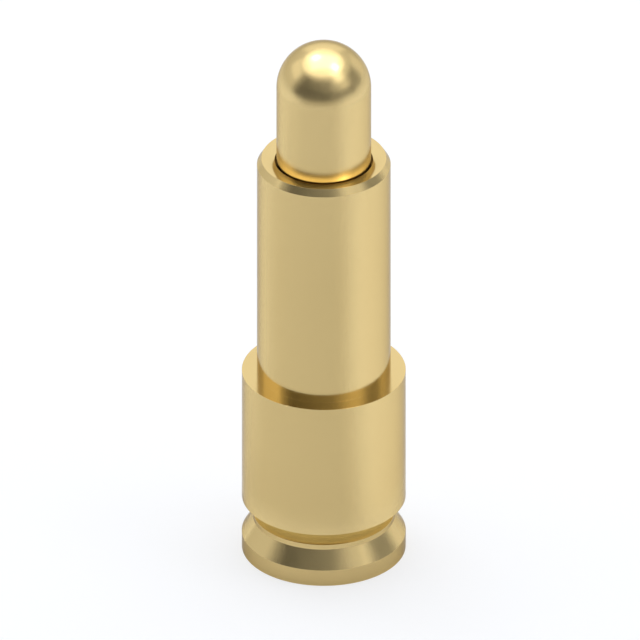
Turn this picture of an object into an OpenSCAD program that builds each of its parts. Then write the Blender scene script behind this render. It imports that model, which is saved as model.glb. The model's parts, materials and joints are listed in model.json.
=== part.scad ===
// Spring-loaded contact pin ("pogo pin"): a turned barrel with a soldering foot,
// a plunger with a round tip, and the compression spring that pushes it out.
// The axis is Z. The origin is the centre of the foot's flat underside.

/* [Foot] */
// Diameter of the foot's rim
foot_dia = 1.85; // [1.70:0.01:2.50]
// Height of the rim's straight edge
foot_rim_h = 0.20; // [0.10:0.01:0.40]
// Diameter of the small land above the bevel
foot_land_dia = 1.60; // [1.40:0.01:1.70]
// Height of the bevel between the rim and the land
foot_bevel_h = 0.20; // [0.05:0.01:0.40]
// Height of the land
foot_land_h = 0.06; // [0.02:0.01:0.20]

/* [Lower body] */
// Diameter of the neck at the bottom of the rounded groove
neck_dia = 1.30; // [0.90:0.01:1.38]
// Height of the groove between the foot and the lower body
groove_h = 0.20; // [0.10:0.01:0.40]
// Diameter of the lower body
body_dia = 1.85; // [1.75:0.01:2.50]
// Height of the lower body, up to the shoulder
body_h = 1.63; // [1.00:0.01:3.00]

/* [Upper barrel] */
// Outside diameter of the upper barrel
barrel_dia = 1.51; // [1.45:0.01:1.70]
// Length of the upper barrel, from the shoulder to the top of the lip
barrel_h = 2.75; // [2.20:0.01:4.00]
// Thickness of solid metal between the foot's underside and the floor of the bore
bore_floor_t = 0.86; // [0.75:0.01:1.20]

/* [Swaged lip] */
// Height of the lip's outer slope
lip_slope_h = 0.078; // [0.03:0.001:0.12]
// How far the outer slope leans in
lip_slope_w = 0.05; // [0.02:0.001:0.08]
// Width of the dished ring round the mouth
lip_dish_w = 0.073; // [0.02:0.001:0.09]
// Depth of that dish at the mouth
lip_dish_h = 0.019; // [0.01:0.001:0.05]
// Height from the lip's underside, where the tail stops, to its top
lip_t = 0.18; // [0.12:0.01:0.25]

/* [Plunger] */
// Diameter of the plunger's shaft and of its round tip
plunger_dia = 1.07; // [0.95:0.01:1.10]
// How far the tip stands above the lip at rest
plunger_out = 1.46; // [1.45:0.01:2.00]
// Travel, from resting against the lip to resting on the bore's floor
stroke = 1.40; // [0.80:0.01:1.44]
// Diameter of the captive tail
tail_dia = 1.22; // [1.18:0.01:1.30]
// Bevel on the tail's lower edge
tail_bevel = 0.05; // [0.01:0.01:0.08]
// Diameter of the spring pocket drilled into the tail
pocket_dia = 0.94; // [0.80:0.01:1.00]
// Depth of the spring pocket
pocket_depth = 2.05; // [1.70:0.01:2.20]

/* [Spring] */
// Diameter of the spring wire
wire_dia = 0.12; // [0.08:0.01:0.13]
// Number of working turns between the two closed end turns
spring_turns = 9; // [7:1:10]

/* [Fits] */
// Gap all round between the plunger and the mouth of the lip
mouth_gap = 0.02; // [0.01:0.005:0.04]
// Gap all round between the tail and the bore
bore_gap = 0.02; // [0.01:0.005:0.04]
// Gap all round between the spring and its pocket
spring_gap = 0.03; // [0.02:0.005:0.06]
// Gap that is left at each end of the spring and between its closed turns
spring_end_gap = 0.01; // [0.005:0.005:0.02]

/* [Hidden] */
$fn = 96;
// What a cut runs past the surface it opens
cut = 0.5;

// Heights of the barrel's steps, from the foot up
bevel_top_z = foot_rim_h + foot_bevel_h;
foot_top_z = bevel_top_z + foot_land_h;
body_z = foot_top_z + groove_h;
shoulder_z = body_z + body_h;
lip_z = shoulder_z + barrel_h;

// The plunger is captive between the lip's underside and the bore's floor
stop_z = lip_z - lip_t;
tail_z = bore_floor_t + stroke;
tip_z = lip_z + plunger_out;
mouth_dia = plunger_dia + 2 * mouth_gap;
bore_dia = tail_dia + 2 * bore_gap;

// The spring stands on the bore's floor and ends under the bottom of the pocket
pocket_z = tail_z + pocket_depth;
spring_dia = pocket_dia - 2 * spring_gap;
spring_z = bore_floor_t + spring_end_gap;
spring_len = pocket_z - bore_floor_t - 2 * spring_end_gap;
closed_pitch = wire_dia + spring_end_gap;

// How finely the wire is swept and each half of the groove is curved
wire_sides = 8;
rings_per_turn = 20;
groove_steps = 10;

// Point on the groove's quarter oval, from its edge (side -1 below, 1 above) to the neck
function groove_point(edge_dia, side, step) =
    let (
        angle = 90 * step / groove_steps,
        depth = (edge_dia - neck_dia) / 2
    )
    [
        edge_dia / 2 - depth * sin(angle),
        body_z - groove_h / 2 + side * groove_h / 2 * cos(angle)
    ];

// Half outline of the barrel's outside, foot to lip
module barrel_outside() {
    polygon([
        [0, 0],
        [foot_dia / 2, 0],
        [foot_dia / 2, foot_rim_h],
        [foot_land_dia / 2, bevel_top_z],
        for (step = [0:groove_steps]) groove_point(foot_land_dia, -1, step),
        for (step = [groove_steps - 1:-1:0]) groove_point(body_dia, 1, step),
        [body_dia / 2, shoulder_z],
        [barrel_dia / 2, shoulder_z],
        [barrel_dia / 2, lip_z - lip_slope_h],
        [barrel_dia / 2 - lip_slope_w, lip_z],
        [mouth_dia / 2 + lip_dish_w, lip_z],
        [mouth_dia / 2, lip_z - lip_dish_h],
        [0, lip_z - lip_dish_h]
    ]);
}

// Blind bore with the smaller mouth that the lip leaves open
module bore_cut() {
    translate([0, bore_floor_t])
        square([bore_dia / 2, stop_z - bore_floor_t]);
    translate([0, stop_z])
        square([mouth_dia / 2, lip_z + cut - stop_z]);
}

module barrel() {
    color("#d0b87f")
        rotate_extrude()
            difference() {
                barrel_outside();
                bore_cut();
            }
}

// Half outline of the plunger: round tip, shaft and captive tail
module plunger_outside() {
    tip_r = plunger_dia / 2;
    translate([0, tip_z - tip_r])
        intersection() {
            circle(r = tip_r);
            square(tip_r);
        }
    translate([0, stop_z])
        square([tip_r, tip_z - tip_r - stop_z]);
    polygon([
        [0, tail_z],
        [tail_dia / 2 - tail_bevel, tail_z],
        [tail_dia / 2, tail_z + tail_bevel],
        [tail_dia / 2, stop_z],
        [0, stop_z]
    ]);
}

module plunger() {
    color("#d6bd82")
        rotate_extrude()
            difference() {
                plunger_outside();
                translate([0, tail_z - cut])
                    square([pocket_dia / 2, pocket_depth + cut]);
            }
}

// Height of the wire's centre after some turns: a closed turn, the open turns, a closed turn
function coil_height(turn, turns, pitch) =
    turn < 1 ? turn * closed_pitch
    : turn < turns - 1 ? closed_pitch + (turn - 1) * pitch
    : closed_pitch * (turn - turns + 2) + (turns - 2) * pitch;

// Compression spring, swept ring by ring along its helix
module spring() {
    turns = spring_turns + 2;
    wire_r = wire_dia / 2;
    coil_r = spring_dia / 2 - wire_r;
    open_pitch = (spring_len - wire_dia - 2 * closed_pitch) / spring_turns;
    last = turns * rings_per_turn;
    points = [
        for (ring = [0:last])
            let (
                turn = ring / rings_per_turn,
                angle = 360 * turn,
                height = coil_height(turn, turns, open_pitch),
                closed = turn < 1 || turn > turns - 1,
                rise = atan((closed ? closed_pitch : open_pitch) / (2 * PI * coil_r)),
                out = [cos(angle), sin(angle), 0],
                up = [sin(angle) * sin(rise), -cos(angle) * sin(rise), cos(rise)]
            )
            for (side = [0:wire_sides - 1])
                let (roll = 360 * side / wire_sides)
                coil_r * out + [0, 0, height]
                    + wire_r * (cos(roll) * out + sin(roll) * up)
    ];
    walls = [
        for (ring = [0:last - 1], side = [0:wire_sides - 1])
            let (
                a = ring * wire_sides + side,
                b = ring * wire_sides + (side + 1) % wire_sides
            )
            each [
                [a, b, b + wire_sides],
                [a, b + wire_sides, a + wire_sides]
            ]
    ];
    start_cap = [for (side = [wire_sides - 1:-1:0]) side];
    end_cap = [for (side = [0:wire_sides - 1]) last * wire_sides + side];
    color("#c9b27c")
        translate([0, 0, spring_z + wire_r])
            polyhedron(points, concat(walls, [start_cap, end_cap]));
}

barrel();
plunger();
spring();
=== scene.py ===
import json
import math
import bpy
import numpy as np
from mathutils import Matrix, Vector


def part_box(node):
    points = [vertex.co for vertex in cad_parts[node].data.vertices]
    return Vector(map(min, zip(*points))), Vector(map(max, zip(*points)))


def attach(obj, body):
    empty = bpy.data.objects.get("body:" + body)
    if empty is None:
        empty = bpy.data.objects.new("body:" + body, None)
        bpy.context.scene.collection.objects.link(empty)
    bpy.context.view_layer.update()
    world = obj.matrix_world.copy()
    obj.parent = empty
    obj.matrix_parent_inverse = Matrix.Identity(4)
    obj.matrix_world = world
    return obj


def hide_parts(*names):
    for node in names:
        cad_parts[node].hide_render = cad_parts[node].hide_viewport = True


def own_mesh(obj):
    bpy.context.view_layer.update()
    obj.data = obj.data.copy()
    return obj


print("loading the frame")
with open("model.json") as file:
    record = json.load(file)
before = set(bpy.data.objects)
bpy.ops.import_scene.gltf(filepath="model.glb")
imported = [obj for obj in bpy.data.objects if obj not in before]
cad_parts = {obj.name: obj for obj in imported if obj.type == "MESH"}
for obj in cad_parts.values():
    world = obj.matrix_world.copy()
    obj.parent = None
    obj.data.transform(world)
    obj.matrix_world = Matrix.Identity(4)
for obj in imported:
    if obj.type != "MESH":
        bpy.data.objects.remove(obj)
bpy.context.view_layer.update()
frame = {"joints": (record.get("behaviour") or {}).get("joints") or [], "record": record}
mm = 0.001              # sizes are written in millimetres and the scene is in metres
mounts = {mount["name"]: mount for mount in frame["record"]["mounts"]}
travel = frame["joints"][0]["range_m"][1]

# the solids' boxes, in millimetres
barrelBox = [np.array(corner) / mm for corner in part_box("barrel")]
plungerBox = [np.array(corner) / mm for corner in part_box("plunger")]
springBox = [np.array(corner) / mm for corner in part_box("spring")]


# sRGB hex to linear: divide by 12.92 near black, else ((c + 0.055) / 1.055) to the power 2.4
def hexColour(code):
    srgb = np.array([int(code[i:i + 2], 16) for i in (1, 3, 5)]) / 255
    linear = np.where(srgb <= 0.04045, srgb / 12.92, ((srgb + 0.055) / 1.055) ** 2.4)
    return (*linear.tolist(), 1.0)


# adds one node; settings are node attributes or socket values, links are the sockets it reads
def addNode(tree, kind, settings=None, links=None):
    made = tree.nodes.new("ShaderNode" + kind)
    for name, value in (settings or {}).items():
        if isinstance(name, int) or name in made.inputs:
            made.inputs[name].default_value = value
        else:
            setattr(made, name, value)
    for name, source in (links or {}).items():
        tree.links.new(source, made.inputs[name])
    return made


def newMaterial(name):
    material = bpy.data.materials.new(name)
    material.use_nodes = True
    material.node_tree.nodes.clear()
    return material, material.node_tree


# An outline of straight runs whose corners are arcs. Each corner is radius, height, rounding and
# steps: its arc starts rounding * tan(turn / 2) before it, and its points are centre + rounding *
# (cos, sin) over the turn. A guard point beside each end keeps the shading of long runs flat.
def roundedOutline(corners, guard):
    mergeWithin = 1e-4      # points nearer than this are one point
    spots = np.array([corner[:2] for corner in corners], float)
    points = [spots[:1]]
    for i in range(1, len(spots) - 1):
        rounding, steps = corners[i][2:]
        outside = min(guard, rounding)
        inward = (spots[i] - spots[i - 1]) / np.linalg.norm(spots[i] - spots[i - 1])
        outward = (spots[i + 1] - spots[i]) / np.linalg.norm(spots[i + 1] - spots[i])
        turn = math.atan2(inward[0] * outward[1] - inward[1] * outward[0], inward @ outward)
        reach = rounding * math.tan(abs(turn) / 2)
        start = spots[i] - inward * reach
        normal = np.array([-inward[1], inward[0]]) * math.copysign(1, turn)
        centre = start + rounding * normal
        first = math.atan2(*(start - centre)[::-1])
        angles = first + turn * np.linspace(0, 1, steps + 1)
        arc = centre + rounding * np.stack([np.cos(angles), np.sin(angles)], 1)
        points += [start[None] - inward * outside, arc, arc[-1:] + outward * outside]
    points.append(spots[-1:])
    outline = np.concatenate(points)
    outline[:, 0] = np.maximum(outline[:, 0], 0)        # no guard point crosses the axis
    apart = np.linalg.norm(np.diff(outline, axis=0), axis=1) > mergeWithin
    return outline[np.concatenate([[True], apart])]


def meshObject(name, verts, faces, material):
    mesh = bpy.data.meshes.new(name)
    mesh.from_pydata(verts.tolist(), [], faces)
    mesh.validate()
    mesh.polygons.foreach_set("use_smooth", np.ones(len(mesh.polygons), bool))
    mesh.materials.append(material)
    made = bpy.data.objects.new(name, mesh)
    bpy.context.scene.collection.objects.link(made)
    return made


# quads between neighbouring rows and columns of a grid that closes on itself along its rows
def gridQuads(rows, columns):
    row, column = np.meshgrid(np.arange(rows - 1), np.arange(columns), indexing="ij")
    beside = (column + 1) % columns
    corners = [row * columns + column, row * columns + beside,
               (row + 1) * columns + beside, (row + 1) * columns + column]
    return np.stack(corners, -1).reshape(-1, 4)


# a fan of triangles from one ring to one point, turned to face away from the solid
def fan(ring, point, flip):
    beside = np.roll(ring, -1)
    centre = np.full(len(ring), point)
    return np.stack([beside, ring, centre] if flip else [ring, beside, centre], 1)


# Surface of revolution: (r cos a, r sin a, z) for every outline point (r, z) and angle a. The
# outline starts and ends on the axis, where a fan of triangles closes the pole.
def turnedPiece(name, outline, sides, material):
    angles = np.linspace(0, 2 * math.pi, sides, endpoint=False)
    rings = outline[1:-1]
    grid = np.empty((len(rings), sides, 3))
    grid[..., 0] = rings[:, :1] * np.cos(angles)
    grid[..., 1] = rings[:, :1] * np.sin(angles)
    grid[..., 2] = rings[:, 1:]
    poles = [[0, 0, outline[0, 1]], [0, 0, outline[-1, 1]]]
    verts = np.concatenate([grid.reshape(-1, 3), poles]) * mm
    firstPole, lastPole = len(verts) - 2, len(verts) - 1
    ring = np.arange(sides)
    faces = gridQuads(len(rings), sides).tolist()
    faces += fan(ring, firstPole, True).tolist()
    faces += fan(ring + (len(rings) - 1) * sides, lastPole, False).tolist()
    return meshObject(name, verts, faces, material)


# barrel: one turned piece whose lip is swaged in over the plunger
barrelShape = {
    "rimHeight": 0.20,          # the foot has a straight rim, a bevel and a narrow land
    "bevelTop": 0.40,
    "landRadius": 0.80,
    "landTop": 0.46,
    "neckRadius": 0.65,         # bottom of the groove between foot and body
    "bodyFrom": 0.66,
    "lipSlopeHeight": 0.078,    # outer slope of the swaged lip
    "lipSlopeWidth": 0.05,
    "lipThickness": 0.18,
    "dishWidth": 0.078,         # ring that the swaging die presses in round the mouth
    "dishDepth": 0.023,
    "clearance": 0.02,          # round the shaft in the mouth, and round the tail in the bore
    "edgeRound": 0.002,         # broken by tumbling, so that edges catch a thin line of light
    "lipRound": 0.001,          # the swaging die leaves its edges sharp
    "dishRound": 0.3,           # but the lip rolls softly into the dish
    "cornerRound": 0.012,       # nose radius of the tool that bores the hole
    "sharpRound": 0.0005,       # the shoulder's inner corner is cut sharp
    "guard": 0.004,             # how far a guard point stands from its arc
    "grooveSteps": 14,
    "arcSteps": 5,
    "sharpSteps": 2,
    "sides": 320,
}


# The groove is two quarter ovals that meet at the neck: from each edge the radius falls by
# depth * sin, and the height leaves the edge by half the groove * (1 - cos).
def grooveCurve(shape, bodyRadius):
    quarter = np.linspace(0, math.pi / 2, shape["grooveSteps"] + 1)
    rise = (shape["bodyFrom"] - shape["landTop"]) / 2 * (1 - np.cos(quarter))
    landDepth = shape["landRadius"] - shape["neckRadius"]
    bodyDepth = bodyRadius - shape["neckRadius"]
    lower = np.stack([shape["landRadius"] - landDepth * np.sin(quarter),
                      shape["landTop"] + rise], 1)
    upper = np.stack([bodyRadius - bodyDepth * np.sin(quarter), shape["bodyFrom"] - rise], 1)
    curve = np.concatenate([lower[1:], upper[-2:0:-1]])
    joint = (shape["sharpRound"], 1)
    return [(radius, height, *joint) for radius, height in curve]


# up the outside from the foot's middle to the lip, and down the bore to the middle of its floor
def barrelOutline(shape, shaftRadius):
    low, high = barrelBox
    tailLow, tailHigh = plungerBox
    footRadius = high[0]
    lipTop = high[2]
    lipUnder = lipTop - shape["lipThickness"]
    shoulder = mounts["shoulder"]["pos_m"][2] / mm
    upperRadius = mounts["barrel_body"]["dims"]["r_mm"]
    mouthRadius = shaftRadius + shape["clearance"]
    boreRadius = tailHigh[0] + shape["clearance"]
    boreFloor = tailLow[2] - travel / mm        # the tail lands on it at full travel
    edge = (shape["edgeRound"], shape["arcSteps"])
    lip = (shape["lipRound"], shape["arcSteps"])
    dish = (shape["dishRound"], shape["arcSteps"])
    corner = (shape["cornerRound"], shape["arcSteps"])
    sharp = (shape["sharpRound"], shape["sharpSteps"])
    return roundedOutline([
        (0, low[2]),
        (footRadius, low[2], *edge),
        (footRadius, shape["rimHeight"], *edge),
        (shape["landRadius"], shape["bevelTop"], *edge),
        (shape["landRadius"], shape["landTop"], *edge),
        *grooveCurve(shape, footRadius),
        (footRadius, shape["bodyFrom"], *edge),
        (footRadius, shoulder, *edge),
        (upperRadius, shoulder, *sharp),
        (upperRadius, lipTop - shape["lipSlopeHeight"], *lip),
        (upperRadius - shape["lipSlopeWidth"], lipTop, *lip),
        (mouthRadius + shape["dishWidth"], lipTop, *dish),
        (mouthRadius, lipTop - shape["dishDepth"], *edge),
        (mouthRadius, lipUnder, *edge),
        (boreRadius, lipUnder, *edge),
        (boreRadius, boreFloor, *corner),
        (0, boreFloor),
    ], shape["guard"])


# plunger: round tip, shaft, and the wider tail that the lip holds in
plungerShape = {
    "shaftRadius": 0.535,       # also the radius of the half-round tip
    "tailBevel": 0.05,
    "pocketDepth": 2.05,
    "springRoom": 0.03,         # round the spring in the pocket drilled up the tail
    "edgeRound": 0.005,
    "guard": 0.004,             # how far a guard point stands from its arc
    "arcSteps": 5,
    "tipSteps": 96,
    "sides": 320,
}


# from the pocket's end down and out to the tail, and up the outside to the tip; the tip's arc
# has the shaft's own radius, so it ends on the axis
def plungerOutline(shape, lipThickness):
    low, high = plungerBox
    tailEnd = low[2]
    tailRadius = high[0]
    tailTop = barrelBox[1][2] - lipThickness        # the lip's underside stops it
    pocketEnd = tailEnd + shape["pocketDepth"]
    pocketRadius = springBox[1][0] + shape["springRoom"]
    edge = (shape["edgeRound"], shape["arcSteps"])
    tip = (shape["shaftRadius"], shape["tipSteps"])
    return roundedOutline([
        (0, pocketEnd),
        (pocketRadius, pocketEnd, *edge),
        (pocketRadius, tailEnd, *edge),
        (tailRadius - shape["tailBevel"], tailEnd, *edge),
        (tailRadius, tailEnd + shape["tailBevel"], *edge),
        (tailRadius, tailTop, *edge),
        (shape["shaftRadius"], tailTop, *edge),
        (shape["shaftRadius"], high[2], *tip),
        (0, high[2]),
    ], shape["guard"])


# spring: round wire with one closed turn at each end
springShape = {
    "wireDiameter": 0.12,
    "workingTurns": 9,
    "closedPitch": 0.13,        # the closed turns all but touch
    "easing": 1 / 3,            # share of a turn in which the pitch changes
    "ringsPerTurn": 64,
    "wireSides": 18,
}


# Tube along a helix. The wire's middle is (c cos a, c sin a, h(a)), where h climbs slowly over the
# first and last turn and steeply between, evened out by a running mean. Each ring of the tube is
# middle + wire * (out cos b + up sin b), across the middle's own tangent.
def springPiece(name, shape, material):
    low, high = springBox
    wire = shape["wireDiameter"] / 2
    coil = high[0] - wire
    turns = shape["workingTurns"] + 2
    count = turns * shape["ringsPerTurn"] + 1
    turn = np.linspace(0, turns, count)
    climb = high[2] - low[2] - 2 * wire
    closed = shape["closedPitch"]
    height = np.interp(turn, [0, 1, turns - 1, turns], [0, closed, climb - closed, climb])
    eased = int(shape["ringsPerTurn"] * shape["easing"])
    padded = np.pad(height, eased, mode="reflect", reflect_type="odd")
    height = np.convolve(padded, np.ones(eased) / eased, "same")[eased:-eased]
    angle = 2 * math.pi * turn
    out = np.stack([np.cos(angle), np.sin(angle), np.zeros(count)], 1)
    middle = coil * out
    middle[:, 2] = low[2] + wire + height
    along = np.gradient(middle, axis=0)
    along /= np.linalg.norm(along, axis=1, keepdims=True)
    up = np.cross(along, -out)
    roll = np.linspace(0, 2 * math.pi, shape["wireSides"], endpoint=False)
    across = out[:, None] * np.cos(roll)[:, None] + up[:, None] * np.sin(roll)[:, None]
    grid = middle[:, None] + wire * across
    verts = np.concatenate([grid.reshape(-1, 3), middle[:1], middle[-1:]]) * mm
    firstEnd, lastEnd = len(verts) - 2, len(verts) - 1
    ring = np.arange(shape["wireSides"])
    faces = gridQuads(count, shape["wireSides"])[:, ::-1].tolist()
    faces += fan(ring, firstEnd, False).tolist()
    faces += fan(ring + (count - 1) * shape["wireSides"], lastEnd, True).tolist()
    return meshObject(name, verts, faces, material)


# Gold plating over nickel, a few micrometres in all, so it keeps whatever surface lies under it:
# the eye sees a mirror of yellow metal, blurred a little by fine marks and by faint clouds where
# the bath laid more or less gold. Tool rings follow the tool's path, height plus radius, so they
# run round on walls and on faces alike.
def goldPlate(name, look):
    material, tree = newMaterial(name)
    place = addNode(tree, "TexCoord")
    axes = addNode(tree, "SeparateXYZ", links={"Vector": place.outputs["Object"]})

    # rings: noise along the path in steps of the feed, which changes slowly round the piece
    flat = addNode(tree, "CombineXYZ", links={"X": axes.outputs["X"], "Y": axes.outputs["Y"]})
    radius = addNode(tree, "VectorMath", {"operation": "LENGTH"}, {0: flat.outputs[0]})
    path = addNode(tree, "Math", {"operation": "ADD"},
                   {0: axes.outputs["Z"], 1: radius.outputs["Value"]})
    feed = addNode(tree, "Math", {"operation": "DIVIDE", 1: look["feed"] * mm},
                   {0: path.outputs[0]})
    around = addNode(tree, "VectorMath", {"operation": "SCALE", "Scale": 1 / (look["drift"] * mm)},
                     {0: place.outputs["Object"]})
    rings = addNode(tree, "TexNoise", {"noise_dimensions": "4D", "Scale": 1.0, "Detail": 2.0},
                    {"Vector": around.outputs[0], "W": feed.outputs[0]})

    # clouds in the plating's thickness, from one tone to another
    cloud = addNode(tree, "TexNoise", {"Scale": 1 / (look["patch"] * mm), "Detail": 3.0},
                    {"Vector": place.outputs["Object"]})
    tone = addNode(tree, "Mix", {"data_type": "RGBA", "A": hexColour(look["darker"]),
                                 "B": hexColour(look["lighter"])},
                   {"Factor": cloud.outputs["Fac"]})

    # painted shade: a darker, greyer tone between two heights, over the groove, with a short ramp
    # at each
    rise = addNode(tree, "MapRange", {"From Min": look["grooveShadeFrom"] * mm,
                                      "From Max": (look["grooveShadeFrom"] + look["grooveShadeRamp"]) * mm},
                   {"Value": axes.outputs["Z"]})
    fall = addNode(tree, "MapRange", {"From Min": look["grooveShadeTo"] * mm,
                                      "From Max": (look["grooveShadeTo"] - look["grooveShadeRamp"]) * mm},
                   {"Value": axes.outputs["Z"]})
    grooveShadeMask = addNode(tree, "Math", {"operation": "MULTIPLY"},
                     {0: rise.outputs[0], 1: fall.outputs[0]})
    toneWithGrooveShade = addNode(tree, "Mix", {"data_type": "RGBA", "B": hexColour(look["grooveShade"])},
                     {"Factor": grooveShadeMask.outputs[0], "A": tone.outputs["Result"]})

    # clouds and rings together blur the mirror, and the rings dent it
    marks = addNode(tree, "Math", {"operation": "ADD"},
                    {0: cloud.outputs["Fac"], 1: rings.outputs["Fac"]})
    rough = addNode(tree, "MapRange", {"From Min": look["fewMarks"], "From Max": look["manyMarks"],
                                       "To Min": look["smooth"], "To Max": look["rough"]},
                    {"Value": marks.outputs[0]})
    bump = addNode(tree, "Bump", {"Strength": look["ringStrength"],
                                  "Distance": look["ringDepth"] * mm},
                   {"Height": rings.outputs["Fac"]})
    shader = addNode(tree, "BsdfPrincipled",
                     {"Metallic": 1.0, "Specular Tint": hexColour(look["grazing"])},
                     {"Base Color": toneWithGrooveShade.outputs["Result"], "Roughness": rough.outputs[0],
                      "Normal": bump.outputs[0]})
    addNode(tree, "OutputMaterial", links={"Surface": shader.outputs[0]})
    return material


# gold-plated brass, turned from bar on a lathe: the finishing cut leaves rings too fine to count,
# which only soften the mirror a little
barrelLook = {
    "darker": "#e5cc90",
    "lighter": "#e9d094",
    "grazing": "#cfcac4",       # seen along the surface, the metal loses most of its yellow
    "grooveShade": "#ddca96",          # painted shade: a darker, greyer tone for the groove
    "grooveShadeFrom": barrelShape["landTop"],
    "grooveShadeTo": barrelShape["bodyFrom"],
    "grooveShadeRamp": 0.01,
    "feed": 0.012,              # real size: the tool's step in one turn of the bar
    "drift": 2.5,               # how far round a ring keeps its look
    "patch": 0.9,               # width of a cloud
    "fewMarks": 0.6,            # clouds plus rings mostly lie between these two
    "manyMarks": 1.4,
    "smooth": 0.13,
    "rough": 0.17,
    "ringStrength": 0.12,
    "ringDepth": 0.0002,        # real size: a fine cut is this deep
}

# gold-plated brass, burnished by tumbling with steel pins before it is plated: they leave fine
# dents over the tool's rings, so its mirror is softer
plungerLook = dict(barrelLook, smooth=0.22, rough=0.26)

# spring wire, drawn through a die, with only a flash of gold: darker and greyer than the plating
springLook = dict(barrelLook, darker="#c0aa7a", lighter="#c9b484", smooth=0.18, rough=0.26)

print("plating the metals")
turnedGold = goldPlate("goldPlatedTurnedBrass", barrelLook)
burnishedGold = goldPlate("goldPlatedBurnishedBrass", plungerLook)
drawnWire = goldPlate("goldFlashedSpringWire", springLook)

print("turning the barrel and the plunger, and winding the spring")
barrel = turnedPiece("barrelShell", barrelOutline(barrelShape, plungerShape["shaftRadius"]),
                     barrelShape["sides"], turnedGold)
plunger = turnedPiece("plungerPin", plungerOutline(plungerShape, barrelShape["lipThickness"]),
                      plungerShape["sides"], burnishedGold)
spring = springPiece("springCoil", springShape, drawnWire)

print("joining the pieces to their bodies")
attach(barrel, "barrel")
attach(plunger, "plunger")
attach(spring, "barrel")
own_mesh(spring)
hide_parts("barrel")
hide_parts("plunger")
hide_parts("spring")


# Reads the span map and works out how much of a paper is left at each point: a smooth step up
# from each edge over its feather, all four multiplied. Feathers are shares of the whole span, at
# its left, right, lower or inner, and upper or outer edge.
def featheredSpan(tree, feathers):
    place = addNode(tree, "UVMap", {"uv_map": "span"})
    span = addNode(tree, "SeparateXYZ", links={"Vector": place.outputs[0]})
    left, right, near, far = feathers
    share = None
    for axis, start, end in (("X", 0, left), ("X", 1, 1 - right),
                             ("Y", 0, near), ("Y", 1, 1 - far)):
        step = addNode(tree, "MapRange", {"interpolation_type": "SMOOTHSTEP",
                                          "From Min": start, "From Max": end},
                       {"Value": span.outputs[axis]})
        share = step if share is None else addNode(
            tree, "Math", {"operation": "MULTIPLY"}, {0: share.outputs[0], 1: step.outputs[0]})
    return span, share


# matt paper that goes from one tone at its left to another at its right, and thins out to
# nothing at its edges, so that the metal mirrors no hard line
def featheredPaper(name, tones, feathers):
    material, tree = newMaterial(name)
    span, share = featheredSpan(tree, feathers)
    tone = addNode(tree, "Mix", {"data_type": "RGBA", "A": hexColour(tones[0]),
                                 "B": hexColour(tones[1])},
                   {"Factor": span.outputs["X"]})
    paper = addNode(tree, "BsdfDiffuse", links={"Color": tone.outputs["Result"]})
    clear = addNode(tree, "BsdfTransparent")
    mixed = addNode(tree, "MixShader", links={0: share.outputs[0], 1: clear.outputs[0],
                                              2: paper.outputs[0]})
    addNode(tree, "OutputMaterial", links={"Surface": mixed.outputs[0]})
    return material


# a softbox's cloth that fades towards its edges: its glow is added to what stands behind it; where
# only the metal mirrors it, it is a painted highlight that lights nothing
def featheredGlow(name, glow, feathers):
    material, tree = newMaterial(name)
    share = featheredSpan(tree, feathers)[1]
    strength = addNode(tree, "Math", {"operation": "MULTIPLY", 1: glow}, {0: share.outputs[0]})
    cloth = addNode(tree, "Emission", {"Color": (1, 1, 1, 1)}, {"Strength": strength.outputs[0]})
    clear = addNode(tree, "BsdfTransparent")
    added = addNode(tree, "AddShader", links={0: clear.outputs[0], 1: cloth.outputs[0]})
    addNode(tree, "OutputMaterial", links={"Surface": added.outputs[0]})
    return material


floorLook = {
    "radius": 400,
    "sides": 96,
    "colour": "#ecf0f8",
    "whiteSeen": 0.6,           # share of plain white in what the camera sees
    "whiteMirrored": 0.3,       # and in what the metal mirrors
}


# matt white paint that keeps the pin's shadow; part of what the camera and the metal see of it is
# plain white, so that it reads as a sweep without an end
def whiteSweep(name, look):
    material, tree = newMaterial(name)
    paint = addNode(tree, "BsdfDiffuse", {"Color": hexColour(look["colour"])})
    plain = addNode(tree, "Emission", {"Color": (1, 1, 1, 1), "Strength": 1.0})
    path = addNode(tree, "LightPath")
    seen = addNode(tree, "Math", {"operation": "MULTIPLY", 1: look["whiteSeen"]},
                   {0: path.outputs["Is Camera Ray"]})
    share = addNode(tree, "Math", {"operation": "MULTIPLY_ADD", 1: look["whiteMirrored"]},
                    {0: path.outputs["Is Glossy Ray"], 2: seen.outputs[0]})
    mixed = addNode(tree, "MixShader", links={0: share.outputs[0], 1: paint.outputs[0],
                                              2: plain.outputs[0]})
    addNode(tree, "OutputMaterial", links={"Surface": mixed.outputs[0]})
    return material


# a flat disc: radius * (cos a, sin a, 0)
def stageFloor(look):
    angles = np.linspace(0, 2 * math.pi, look["sides"], endpoint=False)
    rim = np.stack([np.cos(angles), np.sin(angles), 0 * angles], 1) * look["radius"] * mm
    floor = meshObject("floor", rim, [list(range(look["sides"]))], whiteSweep("paleFloor", look))


studio = {
    "paperSteps": 48,
    "cardMiddle": 5,            # height that the cards' elevations are seen from
    "lampsFace": 3.2,           # height that the softboxes face, the middle of the pin
    "skyGlow": 0.7,
}

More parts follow.
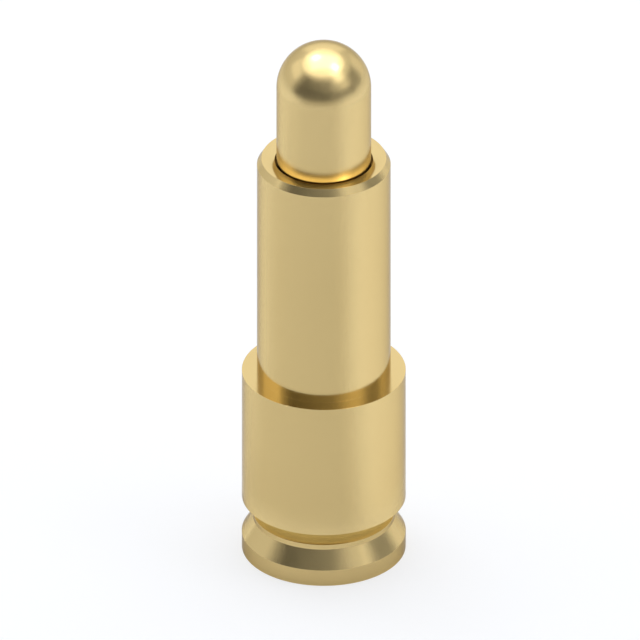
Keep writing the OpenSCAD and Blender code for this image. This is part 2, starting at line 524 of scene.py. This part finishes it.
# What the polished metal mirrors. Azimuth 0 is the camera's side and grows to its right. Cards
# stand in bands round the pin, far enough out that foot and tip mirror the same tones, and the
# sheets lie flat round it, where only the walls mirror them: painted shade of the floor, darker in
# front and round the foot.
cards = {
    "frontCard": {"azimuths": (-90, 56), "elevations": (-10, 52), "radius": 72,
                  "tones": ("#5f5f5f", "#c7c7c7"), "feathers": (0.25, 0.33, 0.1, 0.36)},
    "shadeCard": {"azimuths": (-90, 25), "elevations": (-10, 27), "radius": 71,
                  "tones": ("#6a6a6a", "#969696"), "feathers": (0.25, 0.35, 0.1, 0.6)},
    "lowCard": {"azimuths": (5, 88), "elevations": (-4, 18), "radius": 70,
                "tones": ("#929292", "#c7c7c7"), "feathers": (0.25, 0.12, 0.2, 0.25)},
    "sideCard": {"azimuths": (60, 127), "elevations": (-3, 38), "radius": 68,
                 "tones": ("#b3b3b3", "#b3b3b3"), "feathers": (0.4, 0.4, 0.15, 0.25)},
}
# painted highlight: a glowing cloth that only the metal mirrors; it lights nothing
highlightCloth = {"azimuths": (20, 84), "elevations": (27, 66), "radius": 66,
             "glow": 1.0, "feathers": (0.5, 0.5, 0.2, 0.4)}
# painted shade: sheets that only the metal mirrors, standing in for the floor's shade, darker in
# front of the pin
shadeSheets = {
    "frontShadeSheet": {"azimuths": (-140, 75), "radii": (1.5, 19), "height": 0.004,
                   "tones": ("#d1d1d1", "#c5c5c5"), "feathers": (0.3, 0.24, 0.06, 0.7)},
    "backShadeSheet": {"azimuths": (10, 240), "radii": (1.5, 19), "height": 0.006,
                  "tones": ("#ededed", "#d6d6d6"), "feathers": (0.35, 0.2, 0.06, 0.7)},
    "farShadeSheet": {"azimuths": (-80, 62), "radii": (10, 72), "height": 0.008,
                 "tones": ("#b8b8b8", "#d0d0d0"), "feathers": (0.3, 0.3, 0.21, 0.001)},
    # painted contact shadow round the foot, seen only in the metal
    "footShadowSheet": {"azimuths": (-180, 180), "radii": (0.926, 1.8), "height": 0.002,
                  "tones": ("#d8d8d8", "#d8d8d8"), "feathers": (0.001, 0.001, 0.01, 0.3)},
}


# A strip of paper from one azimuth to another, which only reflections show: radius * (sin a,
# -cos a) at its inner and at its outer edge, each of them a radius and a height. The span map
# runs from 0 to 1 along the strip and across it.
def stagePaper(name, azimuths, inner, outer, material):
    steps = studio["paperSteps"]
    azimuth = np.radians(np.linspace(*azimuths, steps + 1))
    around = np.stack([np.sin(azimuth), -np.cos(azimuth), 0 * azimuth], 1)
    rows = [around * radius + np.array([0, 0, height]) for radius, height in (inner, outer)]
    step = np.arange(steps)
    above = step + steps + 1
    faces = np.stack([step, step + 1, above + 1, above], 1)
    paper = meshObject(name, np.concatenate(rows) * mm, faces.tolist(), material)
    along = np.tile(np.linspace(0, 1, steps + 1), 2)
    across = np.repeat([0.0, 1.0], steps + 1)
    span = np.stack([along, across], 1)
    paper.data.uv_layers.new(name="span").data.foreach_set("uv", span[faces].ravel())
    paper.visible_camera = False
    return paper


# a standing band: each edge is at the cards' middle height + radius * tan(elevation)
def stageCard(name, card, material):
    slopes = np.tan(np.radians(card["elevations"]))
    low, high = studio["cardMiddle"] + slopes * card["radius"]
    inner, outer = (card["radius"], low), (card["radius"], high)
    return stagePaper(name, card["azimuths"], inner, outer, material)


# a flat sheet just above the floor, from one radius to another
def stageSheet(name, sheet, material):
    inner, outer = [(radius, sheet["height"]) for radius in sheet["radii"]]
    return stagePaper(name, sheet["azimuths"], inner, outer, material)


# for paper and cloth that the metal mirrors, but that neither lights nor shades anything: the
# painted shade sheets and the painted highlight cloth
def onlyMirrored(paper):
    paper.visible_diffuse = False
    paper.visible_shadow = False


# a glow of 1 is as bright as plain white
softboxes = {
    "ceiling": {"direction": (0, 0, 1), "distance": 45, "size": (80, 76), "glow": 0.8,
                "shape": "ELLIPSE", "aside": (-1.6, 7.4)},
    "lampLeft": {"direction": (-0.236, 0.302, 0.924), "distance": 40, "size": (9, 9),
                 "glow": 4.0},
    "lampRight": {"direction": (0.396, -0.095, 0.914), "distance": 40, "size": (9, 9),
                  "glow": 4.0},
    "backPanel": {"direction": (0, 0.866, 0.5), "distance": 70, "size": (60, 34),
                  "glow": 0.36},
    "middlePanel": {"direction": (0, 0.1, 1), "distance": 43, "size": (44, 30), "glow": 0.9},
    "rightPanel": {"direction": (0.981, 0.086, 0.174), "distance": 95, "size": (230, 76),
                   "glow": 0.18},
    "leftPanel": {"direction": (-0.82, 0.2, 0.54), "distance": 45, "size": (34, 16),
                  "glow": 0.3},
}


# A softbox stands out from the middle of the pin and faces it. Its power is pi * area * glow, and
# an ellipse fills pi / 4 of its rectangle.
def softbox(name, box):
    shape = box.get("shape", "RECTANGLE")
    width, height = (side * mm for side in box["size"])
    filled = math.pi / 4 if shape == "ELLIPSE" else 1
    light = bpy.data.lights.new(name, "AREA")
    light.shape = shape
    light.size = width
    light.size_y = height
    light.energy = math.pi * width * height * filled * box["glow"]
    lamp = bpy.data.objects.new(name, light)
    aim = Vector(box["direction"]).normalized()
    middle = Vector((*box.get("aside", (0, 0)), studio["lampsFace"]))
    lamp.location = (middle + aim * box["distance"]) * mm
    lamp.rotation_euler = aim.to_track_quat("Z", "Y").to_euler()
    lamp.visible_camera = False
    bpy.context.scene.collection.objects.link(lamp)


print("setting up the studio")
stageFloor(floorLook)
for name, card in cards.items():
    stageCard(name, card, featheredPaper(name + "Paper", card["tones"], card["feathers"]))
# painted highlight, seen only in the metal
onlyMirrored(stageCard("highlightCloth", highlightCloth,
                       featheredGlow("highlightGlow", highlightCloth["glow"], highlightCloth["feathers"])))
# painted floor shade, seen only in the metal
for name, sheet in shadeSheets.items():
    onlyMirrored(stageSheet(name, sheet,
                            featheredPaper(name + "Paper", sheet["tones"], sheet["feathers"])))
for name, box in softboxes.items():
    softbox(name, box)

world = bpy.data.worlds.new("studioWorld")
world.use_nodes = True
world.node_tree.nodes.clear()
sky = addNode(world.node_tree, "Background",
              {"Color": (1, 1, 1, 1), "Strength": studio["skyGlow"]})
addNode(world.node_tree, "OutputWorld", links={"Surface": sky.outputs[0]})
bpy.context.scene.world = world
bpy.context.scene.view_settings.view_transform = "Standard"

print("placing the camera")
view = {                        # a parallel view from above the floor
    "elevation": 30,            # degrees
    "width": 7.2194,
    "aside": -0.043,
    "height": 2.93,
    "distance": 30,
    "clipStart": 0.1,
    "clipEnd": 1000,
}
tilt = math.radians(view["elevation"])
camera = bpy.data.objects.new("camera", bpy.data.cameras.new("camera"))
camera.data.type = "ORTHO"
camera.data.ortho_scale = view["width"] * mm
camera.data.clip_start = view["clipStart"] * mm
camera.data.clip_end = view["clipEnd"] * mm
camera.location = Vector((view["aside"], -view["distance"] * math.cos(tilt),
                          view["height"] + view["distance"] * math.sin(tilt))) * mm
camera.rotation_euler = (math.pi / 2 - tilt, 0, 0)
bpy.context.scene.collection.objects.link(camera)
bpy.context.scene.camera = camera

print("finishing")
